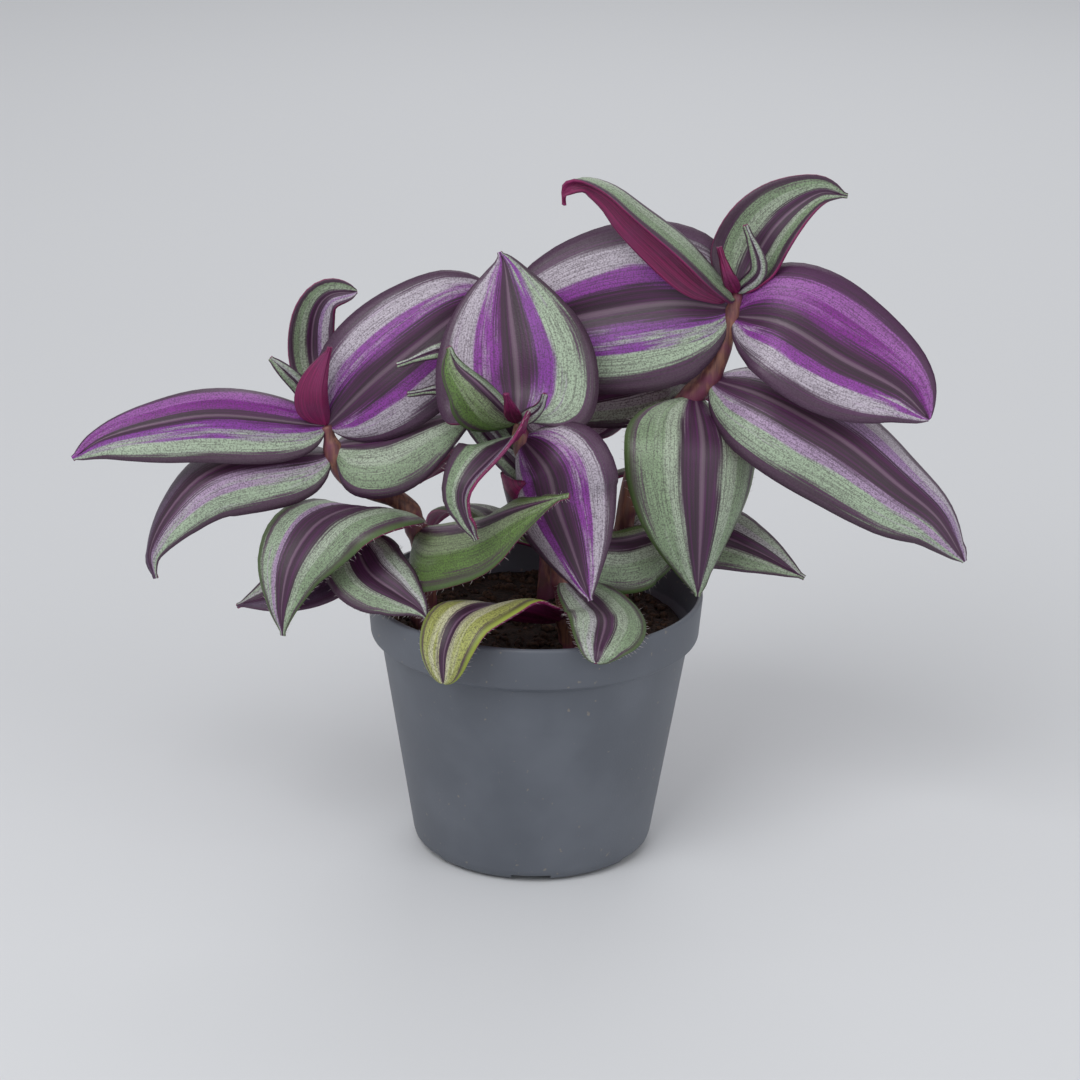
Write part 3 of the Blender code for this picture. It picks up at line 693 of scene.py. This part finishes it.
def build_blade(name, spec):
    """One leaf's blade, in place of the CAD model's plain one."""
    rows = leaf_rows(spec, BLADE_ROWS, BLADE_HALF)
    columns = 2 * BLADE_HALF
    bm = bmesh.new()
    bmesh.ops.create_grid(bm, x_segments=columns, y_segments=BLADE_ROWS, size=1.0)
    uv = bm.loops.layers.uv.new("UVMap")
    for face in bm.faces:
        for loop in face.loops:
            loop[uv].uv = ((loop.vert.co.x + 1) / 2, (loop.vert.co.y + 1) / 2)
    places = {}
    for vert in bm.verts:
        column = round((vert.co.x + 1) / 2 * columns)
        row = round((vert.co.y + 1) / 2 * BLADE_ROWS)
        places[vert] = (row, column)
        vert.co = rows[row][column]
    bm.normal_update()
    moves = {vert: vert.normal * wave(name, *place) for vert, place in places.items()}
    for vert, move in moves.items():
        vert.co += move
    piece = add_piece(name + "_blade", bm, [FINISHES[LOOKS[name]], UNDERSIDE], [name])
    shell = piece.modifiers.new("thickness", "SOLIDIFY")
    shell.thickness = LEAF_THICK * MM
    shell.offset = 0.0
    shell.material_offset = 1
    shell.material_offset_rim = 1
    return piece


blades = {name: build_blade(name, spec) for name, spec in LEAVES.items()}
print("blades:", len(blades))

# %% [markdown]
# Stems are fleshy and reddish brown with dull magenta blotches, and have a thicker ring at each
# node where a leaf clasps them. A grid rolled round the path makes the tube, its ends are filled, and
# the ring is only a wider radius near those heights. A curve with a round bevel would be quicker,
# but its radius is harder to change along the way.

# %% Stem finish
def stem_finish():
    """Reddish brown skin streaked along the stem."""
    finish = Finish("stem_skin")
    place = finish.coordinates()
    streak = finish.noise(finish.scaled(place, (1500.0, 1500.0, 120.0)), 1.0, 3.0)
    blotch = finish.noise(place, 220.0, 2.0)
    color = finish.mix(finish.ramp(streak, [(0.35, 0.0), (0.65, 1.0)]), paint("5d3a38"), paint("8a5f4c"))
    color = finish.mix(finish.ramp(blotch, [(0.4, 0.0), (0.7, 1.0)]), color, paint("6b2f4a"))
    finish.put(finish.shader.inputs["Base Color"], color)
    finish.shader.inputs["Roughness"].default_value = 0.5
    finish.bump(streak, 0.0002, 0.5)
    return finish.material


STEM_FINISH = stem_finish()
print("stem finish:", STEM_FINISH.name)


# %% Stems
TUBE_STEPS = 90
TUBE_SIDES = 20
RING_SWELL = 0.42          # millimetres
RING_REACH = 1.3
ROOTED = 1.8               # how far the stem goes down below the CAD model's


def node_ring(stem_name, height):
    """Extra radius where a leaf clasps the stem."""
    extra = 0.0
    for spec in LEAVES.values():
        if spec["stem"] == stem_name and spec["height"] is not TIP:
            gap = (height - spec["height"]) / RING_REACH
            extra = max(extra, RING_SWELL * math.exp(-gap * gap))
    return extra


def build_tube(stem_name, points):
    """One stem, from a little way down in the soil to its tip."""
    foot = Vector(points[0]) - Vector((0, 0, ROOTED))
    path = smooth_path([foot] + points, TUBE_STEPS)
    bm = bmesh.new()
    bmesh.ops.create_grid(bm, x_segments=TUBE_SIDES, y_segments=TUBE_STEPS, size=1.0)
    for vert in bm.verts:
        turn = math.pi * vert.co.x
        i = round((vert.co.y + 1) / 2 * TUBE_STEPS)
        along = direction(path, i)
        across = (Vector((1, 0, 0)) - along * along.x).normalized()
        around = across * math.cos(turn) + along.cross(across) * math.sin(turn)
        radius = stem_radius(i / TUBE_STEPS) + node_ring(stem_name, path[i].z)
        vert.co = path[i] + around * radius
    bmesh.ops.remove_doubles(bm, verts=bm.verts, dist=0.001)
    bmesh.ops.holes_fill(bm, edges=bm.edges, sides=TUBE_SIDES)
    bmesh.ops.recalc_face_normals(bm, faces=bm.faces)
    name = "stem_" + stem_name
    return add_piece(name + "_skin", bm, [STEM_FINISH], [name])


stems = {name: build_tube(name, points) for name, points in STEMS.items()}
print("stems:", len(stems))

# %% [markdown]
# The pot is thin moulded plastic: a tapered wall, a thicker collar, a foot ring with six shallow
# notches and a raised base with drain holes. Its outline is spun round the axis, corners are
# bevelled, and the notches and holes are cut by a Boolean whose result is kept as the mesh.
# Stacked cones would give the outside, but one spun outline keeps the wall thin all the way.

# %% Pot finish
def pot_finish():
    """Matte grey plastic, a little cloudy, with specks of dust."""
    finish = Finish("pot_plastic")
    place = finish.coordinates()
    grain = finish.noise(place, 2600.0, 2.0)
    cloud = finish.noise(place, 60.0, 3.0)
    dust = finish.noise(place, 900.0, 1.0)
    color = finish.mix(finish.ramp(cloud, [(0.35, 0.0), (0.7, 1.0)]), paint("565b64"), paint("61666f"))
    color = finish.mix(finish.ramp(dust, [(0.72, 0.0), (0.8, 0.6)]), color, paint("8a8074"))
    finish.put(finish.shader.inputs["Base Color"], color)
    rough = finish.math("ADD", finish.math("MULTIPLY", cloud, 0.14), 0.42)
    finish.put(finish.shader.inputs["Roughness"], rough)
    finish.bump(grain, 0.00006, 0.4)
    return finish.material


POT_FINISH = pot_finish()
print("pot finish:", POT_FINISH.name)


# %% The pot's outline, spun
def pot_profile():
    """The pot's wall from the pad's centre out, up the outside, over the rim and down inside."""
    points = [(0, 0), (PAD_RADIUS, 0), (PAD_RADIUS, BASE_HEIGHT)]
    points += [(FOOT_RING_INNER, BASE_HEIGHT), (FOOT_RING_INNER, 0)]
    for k in range(5):
        turn = math.radians(-90 + 85 * k / 4)
        points.append((FOOT_RADIUS - FOOT_ROUND + FOOT_ROUND * math.cos(turn),
                       FOOT_ROUND + FOOT_ROUND * math.sin(turn)))
    points += [(NECK_RADIUS, COLLAR_LOW - 1.2), (COLLAR_LOW_RADIUS, COLLAR_LOW)]
    points += [(RIM_RADIUS, POT_HEIGHT - 0.4), (RIM_RADIUS - 0.3, POT_HEIGHT)]
    points += [(RIM_RADIUS - WALL, POT_HEIGHT), (COLLAR_LOW_RADIUS - WALL, COLLAR_LOW + 0.6)]
    points += [(NECK_RADIUS - WALL, COLLAR_LOW - 0.9), (inner_radius(4.5), 4.5)]
    points += [(inner_radius(4.5) - 1.2, BASE_HEIGHT + BASE_THICK), (0, BASE_HEIGHT + BASE_THICK)]
    return points


def inner_radius(height):
    """Inside radius of the tapered wall below the collar."""
    share = (height - FOOT_ROUND) / (COLLAR_LOW - 1.2 - FOOT_ROUND)
    return FOOT_RADIUS - WALL + (NECK_RADIUS - FOOT_RADIUS) * share


def spin_profile(points, steps):
    """Spin a closed outline that touches the Z axis into a solid."""
    bm = bmesh.new()
    verts = [bm.verts.new((r, 0, z)) for r, z in points]
    edges = [bm.edges.new(pair) for pair in zip(verts, verts[1:])]
    bmesh.ops.spin(bm, geom=verts + edges, cent=(0, 0, 0), axis=(0, 0, 1),
                   angle=2 * math.pi, steps=steps, use_merge=True)
    bmesh.ops.remove_doubles(bm, verts=bm.verts, dist=0.0001)
    bmesh.ops.recalc_face_normals(bm, faces=bm.faces)
    return bm


print("points on the pot's outline:", len(pot_profile()))


# %% What cuts the notches and the drain holes
def turn_about_z(angle):
    """A rotation matrix about the pot's axis."""
    return Matrix.Rotation(angle, 3, "Z")


def cutter_mesh():
    """A block for each notch and a rod for each hole."""
    bm = bmesh.new()
    for i in range(NOTCHES):
        cube = bmesh.ops.create_cube(bm, size=1.0)["verts"]
        bmesh.ops.scale(bm, vec=(8, NOTCH_WIDTH, 2 * NOTCH_HEIGHT), verts=cube)
        bmesh.ops.translate(bm, vec=(20.5, 0, 0), verts=cube)
        bmesh.ops.rotate(bm, matrix=turn_about_z(2 * math.pi * i / NOTCHES - math.pi / 2), verts=cube)
    for i in range(DRAINS):
        hole = bmesh.ops.create_cone(bm, cap_ends=True, segments=24, radius1=DRAIN_RADIUS,
                                     radius2=DRAIN_RADIUS, depth=4)["verts"]
        bmesh.ops.translate(bm, vec=(DRAIN_CIRCLE, 0, BASE_HEIGHT + 0.5), verts=hole)
        bmesh.ops.rotate(bm, matrix=turn_about_z(2 * math.pi * (i + 0.5) / DRAINS), verts=hole)
    bmesh.ops.scale(bm, vec=(MM, MM, MM), verts=bm.verts)
    mesh = bpy.data.meshes.new("pot_cutter")
    bm.to_mesh(mesh)
    bm.free()
    return mesh


print("notches:", NOTCHES, "drain holes:", DRAINS)

# %% The pot, cut
CORNER = 0.22 * MM
pot = add_piece("pot_shell", spin_profile(pot_profile(), POT_STEPS), [POT_FINISH], ["pot"])
cutter = bpy.data.objects.new("pot_cutter", cutter_mesh())
bpy.context.scene.collection.objects.link(cutter)
bevel = pot.modifiers.new("soft_corners", "BEVEL")
bevel.width = CORNER
bevel.segments = 2
bevel.limit_method = "ANGLE"
bevel.angle_limit = math.radians(35)
cut = pot.modifiers.new("notches", "BOOLEAN")
cut.object = cutter
cut.operation = "DIFFERENCE"
cut.solver = "EXACT"
bpy.context.view_layer.update()
cut_pot = pot.evaluated_get(bpy.context.evaluated_depsgraph_get())
shaped = bpy.data.meshes.new_from_object(cut_pot)
pot.modifiers.clear()
pot.data = shaped
bpy.data.objects.remove(cutter, do_unlink=True)
shaped.polygons.foreach_set("use_smooth", [True] * len(shaped.polygons))
shaped.set_sharp_from_angle(angle=math.radians(32))
print("pot faces:", len(shaped.polygons))

# %% [markdown]
# Potting soil is dark and crumbly, with lumps of bark and a few pale grains. The plug is spun
# like the pot and its top is roughened, and several hundred small lumps lie on it, sunk in by a
# good third. They are one piece, so that the model stays tidy. A Displace modifier could
# roughen the top, but moving its points by a formula lets each lump find the height there.

# %% Soil finish
def soil_finish(name, dark, light, grain_scale):
    """Dark crumbly peat between two browns."""
    finish = Finish(name)
    place = finish.coordinates()
    grain = finish.noise(place, grain_scale, 4.0)
    lump = finish.noise(place, 420.0, 3.0)
    color = finish.mix(finish.ramp(grain, [(0.35, 0.0), (0.7, 1.0)]), paint(dark), paint(light))
    color = finish.mix(finish.ramp(lump, [(0.5, 0.0), (0.75, 0.6)]), color, paint("4a3526"))
    finish.put(finish.shader.inputs["Base Color"], color)
    finish.shader.inputs["Roughness"].default_value = 0.92
    finish.bump(grain, 0.0005, 0.8)
    return finish.material


SOIL_FINISH = soil_finish("soil_peat", "1c120d", "3a281d", 1800.0)
CRUMB_FINISH = soil_finish("soil_crumb", "241711", "5a4130", 1300.0)
print("soil finishes:", SOIL_FINISH.name, CRUMB_FINISH.name)

# %% Soil plug and crumbs
SOIL_NECK = inner_radius(COLLAR_LOW - 2) - 0.5
SOIL_BOTTOM = BASE_HEIGHT + BASE_THICK + 0.3
CRUMBS = 620


def soil_height(x, y):
    """The rough top of the soil, in millimetres."""
    place = Vector((x * 0.28, y * 0.28, 3.0))
    return SOIL_TOP - 0.1 + 0.75 * noise.noise(place) + 0.3 * noise.noise(place * 3.1)


def build_soil():
    """The plug, a little clear of the pot, with a rough top."""
    outline = [(0, SOIL_BOTTOM), (inner_radius(5.0) - 1.6, SOIL_BOTTOM), (inner_radius(7.0) - 0.3, 7.0)]
    outline += [(SOIL_NECK, COLLAR_LOW - 2), (SOIL_NECK, SOIL_TOP)]
    outline += [(SOIL_NECK * (1 - k / 16), SOIL_TOP) for k in range(1, 17)]
    bm = spin_profile(outline, 72)
    for vert in bm.verts:
        if vert.co.z > SOIL_TOP - 0.1:
            vert.co.z = soil_height(vert.co.x, vert.co.y)
    return add_piece("soil_plug", bm, [SOIL_FINISH], ["soil"])


def build_crumbs():
    """Lumps of uneven size, scattered evenly over the top."""
    draw = random.Random(7)
    bm = bmesh.new()
    for _ in range(CRUMBS):
        reach = SOIL_NECK * math.sqrt(draw.random()) * 0.965
        turn = draw.uniform(0, 2 * math.pi)
        x, y = reach * math.cos(turn), reach * math.sin(turn)
        size = draw.uniform(0.35, 1.15)
        lump = bmesh.ops.create_icosphere(bm, subdivisions=1, radius=size)["verts"]
        for vert in lump:
            vert.co *= 1 + draw.uniform(-0.22, 0.22)
        bmesh.ops.scale(bm, vec=(draw.uniform(0.7, 1.3), draw.uniform(0.7, 1.2), 0.7), verts=lump)
        bmesh.ops.rotate(bm, matrix=turn_about_z(draw.uniform(0, 6.28)), verts=lump)
        bmesh.ops.translate(bm, vec=(x, y, soil_height(x, y) + size * 0.15), verts=lump)
    return add_piece("soil_crumbs", bm, [CRUMB_FINISH], ())


soil = build_soil()
crumbs = build_crumbs()
print("soil faces:", len(soil.data.polygons), "crumb faces:", len(crumbs.data.polygons))

# %% [markdown]
# A few leaves are downy: fine pale hairs stand along their edges. Each hair is a three-sided
# cone, thin enough to read as down, planted along the edge rows of those blades. Blender's own
# hair would not come along as a plain mesh, so cones are used.

# %% Hairs
HAIRY = ("leaf_left_8", "leaf_low_4", "leaf_left_10", "leaf_low_1", "leaf_right_8", "leaf_centre_5",
         "leaf_left_11", "leaf_low_2")
HAIR_RADIUS = 0.035
HAIR_TIP_RADIUS = 0.008
HAIR_STEPS = 44            # places along a blade's edge


def hair_finish():
    """Pale down."""
    finish = Finish("leaf_hair")
    cloud = finish.noise(finish.coordinates(), 300.0, 1.0)
    finish.put(finish.shader.inputs["Base Color"], finish.mix(cloud, paint("b9a9b4"), paint("d8d4cc")))
    finish.shader.inputs["Roughness"].default_value = 0.4
    return finish.material


def build_hairs():
    """One hair on each side of each row of points, leaning a little at random."""
    draw = random.Random(11)
    bm = bmesh.new()
    for name in HAIRY:
        rows = leaf_rows(LEAVES[name], HAIR_STEPS, 4)
        for row in rows[3:-3]:
            for edge, inner in ((row[0], row[1]), (row[-1], row[-2])):
                way = (edge - inner).normalized()
                way += Vector((draw.uniform(-0.5, 0.5), draw.uniform(-0.5, 0.5), draw.uniform(-0.2, 0.7)))
                way.normalize()
                length = draw.uniform(0.5, 1.1)
                hair = bmesh.ops.create_cone(bm, cap_ends=True, segments=3, radius1=HAIR_RADIUS,
                                             radius2=HAIR_TIP_RADIUS, depth=length)["verts"]
                turn = way.to_track_quat("Z", "Y").to_matrix()
                bmesh.ops.rotate(bm, matrix=turn, verts=hair)
                bmesh.ops.translate(bm, vec=edge + way * length * 0.4, verts=hair)
    return add_piece("leaf_hairs", bm, [hair_finish()])


hairs = build_hairs()
print("hair faces:", len(hairs.data.polygons))

# %% [markdown]
# The plant stands on a plain pale floor in soft light. The world lights it evenly from all round,
# and one large lamp from the upper left gives the shape, with two weaker ones on the right and
# behind. The camera sees a paler world than the one that lights the plant, near the floor's own
# grey, and the floor keeps the soft shadow.

# %% Floor
def floor_finish():
    """Plain pale paper."""
    finish = Finish("floor_paper")
    cloud = finish.noise(finish.coordinates(), 3.0, 1.0)
    finish.put(finish.shader.inputs["Base Color"], finish.mix(cloud, paint("d2d4d7"), paint("d4d6d9")))
    finish.shader.inputs["Roughness"].default_value = 0.95
    finish.shader.inputs["Specular IOR Level"].default_value = 0.1
    return finish.material


FLOOR_RADIUS = 4.0
FLOOR_DROP = 0.0001        # just below the pot's foot


def build_floor():
    """A flat disc, too wide for its edge to be seen from above."""
    bm = bmesh.new()
    bmesh.ops.create_circle(bm, cap_ends=True, segments=64, radius=FLOOR_RADIUS)
    bmesh.ops.translate(bm, vec=(0, 0, -FLOOR_DROP), verts=bm.verts)
    mesh = bpy.data.meshes.new("floor")
    bm.to_mesh(mesh)
    bm.free()
    mesh.materials.append(floor_finish())
    made = bpy.data.objects.new("floor", mesh)
    bpy.context.scene.collection.objects.link(made)
    return made


floor = build_floor()
print("floor across:", 2 * FLOOR_RADIUS, "m")

# %% World
world = bpy.data.worlds.new("studio")
bpy.context.scene.world = world
world.use_nodes = True
sky = world.node_tree.nodes["Background"]
rays = world.node_tree.nodes.new("ShaderNodeLightPath")
shown = world.node_tree.nodes.new("ShaderNodeMix")
shown.data_type = "RGBA"
shown.inputs[6].default_value = (0.5, 0.5, 0.51, 1.0)
shown.inputs[7].default_value = paint("d3d5d8")
world.node_tree.links.new(rays.outputs["Is Camera Ray"], shown.inputs[0])
world.node_tree.links.new(shown.outputs[2], sky.inputs["Color"])
print("world:", world.name)


# %% Lamps
LAMP_AIM = Vector((0, 0, 0.06))


def add_lamp(name, place, size, power):
    """A square lamp that looks at the plant."""
    lamp = bpy.data.lights.new(name, "AREA")
    lamp.size = size
    lamp.energy = power
    made = bpy.data.objects.new(name, lamp)
    bpy.context.scene.collection.objects.link(made)
    made.location = place
    made.rotation_mode = "QUATERNION"
    made.rotation_quaternion = (LAMP_AIM - Vector(place)).to_track_quat("-Z", "Y")


add_lamp("key", (-0.35, -0.6, 0.75), 0.6, 5.0)
add_lamp("fill", (0.6, -0.5, 0.4), 0.6, 1.6)
add_lamp("back", (0.1, 0.7, 0.6), 0.5, 1.4)
bpy.context.scene.view_settings.view_transform = "Standard"
